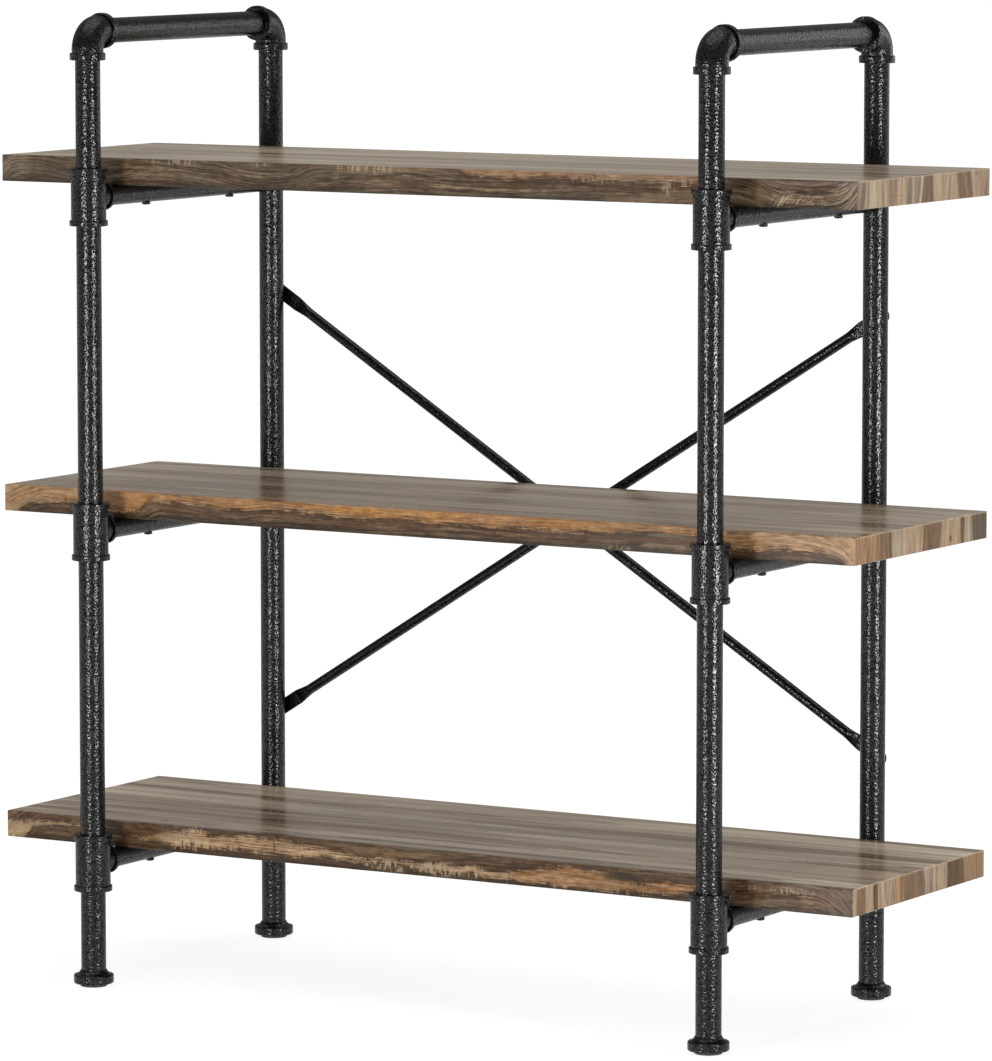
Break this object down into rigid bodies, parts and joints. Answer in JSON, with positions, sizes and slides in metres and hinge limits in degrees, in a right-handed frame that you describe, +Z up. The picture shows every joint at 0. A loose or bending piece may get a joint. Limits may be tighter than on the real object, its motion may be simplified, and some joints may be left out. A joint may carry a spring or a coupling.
{
  "type": "pipe shelving unit",
  "caption": "Free-standing open shelving unit: pipe posts with tees and elbows carry thick wood shelves on cross rails, with crossed braces behind and screw-in levelling feet.",
  "frame": {"origin": "on the floor, midway between the four posts", "axes": "+X along the shelves to the right, +Y from the front to the braced back, +Z up"},
  "size_m": [1.2, 0.4648, 1.2061],
  "materials": {
    "hammered_black": "black hammered paint on steel tube and cast fittings",
    "shelf_wood": "satin lacquer over weathered brown wood grain",
    "black_fasteners": "blackened steel screws and bolts",
    "plain_steel": "zinc plated steel studs, inserts, nuts and brace bolts",
    "foot_plastic": "moulded black plastic glide"
  },
  "bodies": {
    "shelving_frame": {"brace_bolts": "plain_steel", "brace_centre_bolt": "black_fasteners", "brace_centre_nut": "plain_steel", "brace_falling": "hammered_black", "brace_rising": "hammered_black", "brace_rivet_nuts": "plain_steel", "elbow_front_left": "hammered_black", "elbow_front_right": "hammered_black", "elbow_rear_left": "hammered_black", "elbow_rear_right": "hammered_black", "foot_flange_front_left": "hammered_black", "foot_flange_front_right": "hammered_black", "foot_flange_rear_left": "hammered_black", "foot_flange_rear_right": "hammered_black", "front_post_left_leg": "hammered_black", "front_post_left_lower": "hammered_black", "front_post_left_top": "hammered_black", "front_post_left_upper": "hammered_black", "front_post_right_leg": "hammered_black", "front_post_right_lower": "hammered_black", "front_post_right_top": "hammered_black", "front_post_right_upper": "hammered_black", "levelling_inserts": "plain_steel", "rail_bolts": "black_fasteners", "rail_end_plugs": "plain_steel", "rear_post_left": "hammered_black", "rear_post_right": "hammered_black", "shelf_bottom": "shelf_wood", "shelf_middle": "shelf_wood", "shelf_screws_bottom": "black_fasteners", "shelf_screws_middle": "black_fasteners", "shelf_screws_top": "black_fasteners", "shelf_top": "shelf_wood", "support_rail_left_bottom": "hammered_black", "support_rail_left_middle": "hammered_black", "support_rail_left_top": "hammered_black", "support_rail_right_bottom": "hammered_black", "support_rail_right_middle": "hammered_black", "support_rail_right_top": "hammered_black", "tee_left_bottom": "hammered_black", "tee_left_middle": "hammered_black", "tee_left_top": "hammered_black", "tee_right_bottom": "hammered_black", "tee_right_middle": "hammered_black", "tee_right_top": "hammered_black", "top_rail_left": "hammered_black", "top_rail_right": "hammered_black"},
    "levelling_foot_front_left": {"levelling_pad_front_left": "foot_plastic", "levelling_stud_front_left": "plain_steel"},
    "levelling_foot_rear_left": {"levelling_pad_rear_left": "foot_plastic", "levelling_stud_rear_left": "plain_steel"},
    "levelling_foot_front_right": {"levelling_pad_front_right": "foot_plastic", "levelling_stud_front_right": "plain_steel"},
    "levelling_foot_rear_right": {"levelling_pad_rear_right": "foot_plastic", "levelling_stud_rear_right": "plain_steel"}
  },
  "joints": [
    {"name": "foot_screw_front_left", "type": "slide", "parent": "shelving_frame", "child": "levelling_foot_front_left", "axis": [0, 0, -1], "range_m": [0, 0.01]},
    {"name": "foot_screw_rear_left", "type": "slide", "parent": "shelving_frame", "child": "levelling_foot_rear_left", "axis": [0, 0, -1], "range_m": [0, 0.01]},
    {"name": "foot_screw_front_right", "type": "slide", "parent": "shelving_frame", "child": "levelling_foot_front_right", "axis": [0, 0, -1], "range_m": [0, 0.01]},
    {"name": "foot_screw_rear_right", "type": "slide", "parent": "shelving_frame", "child": "levelling_foot_rear_right", "axis": [0, 0, -1], "range_m": [0, 0.01]}
  ]
}
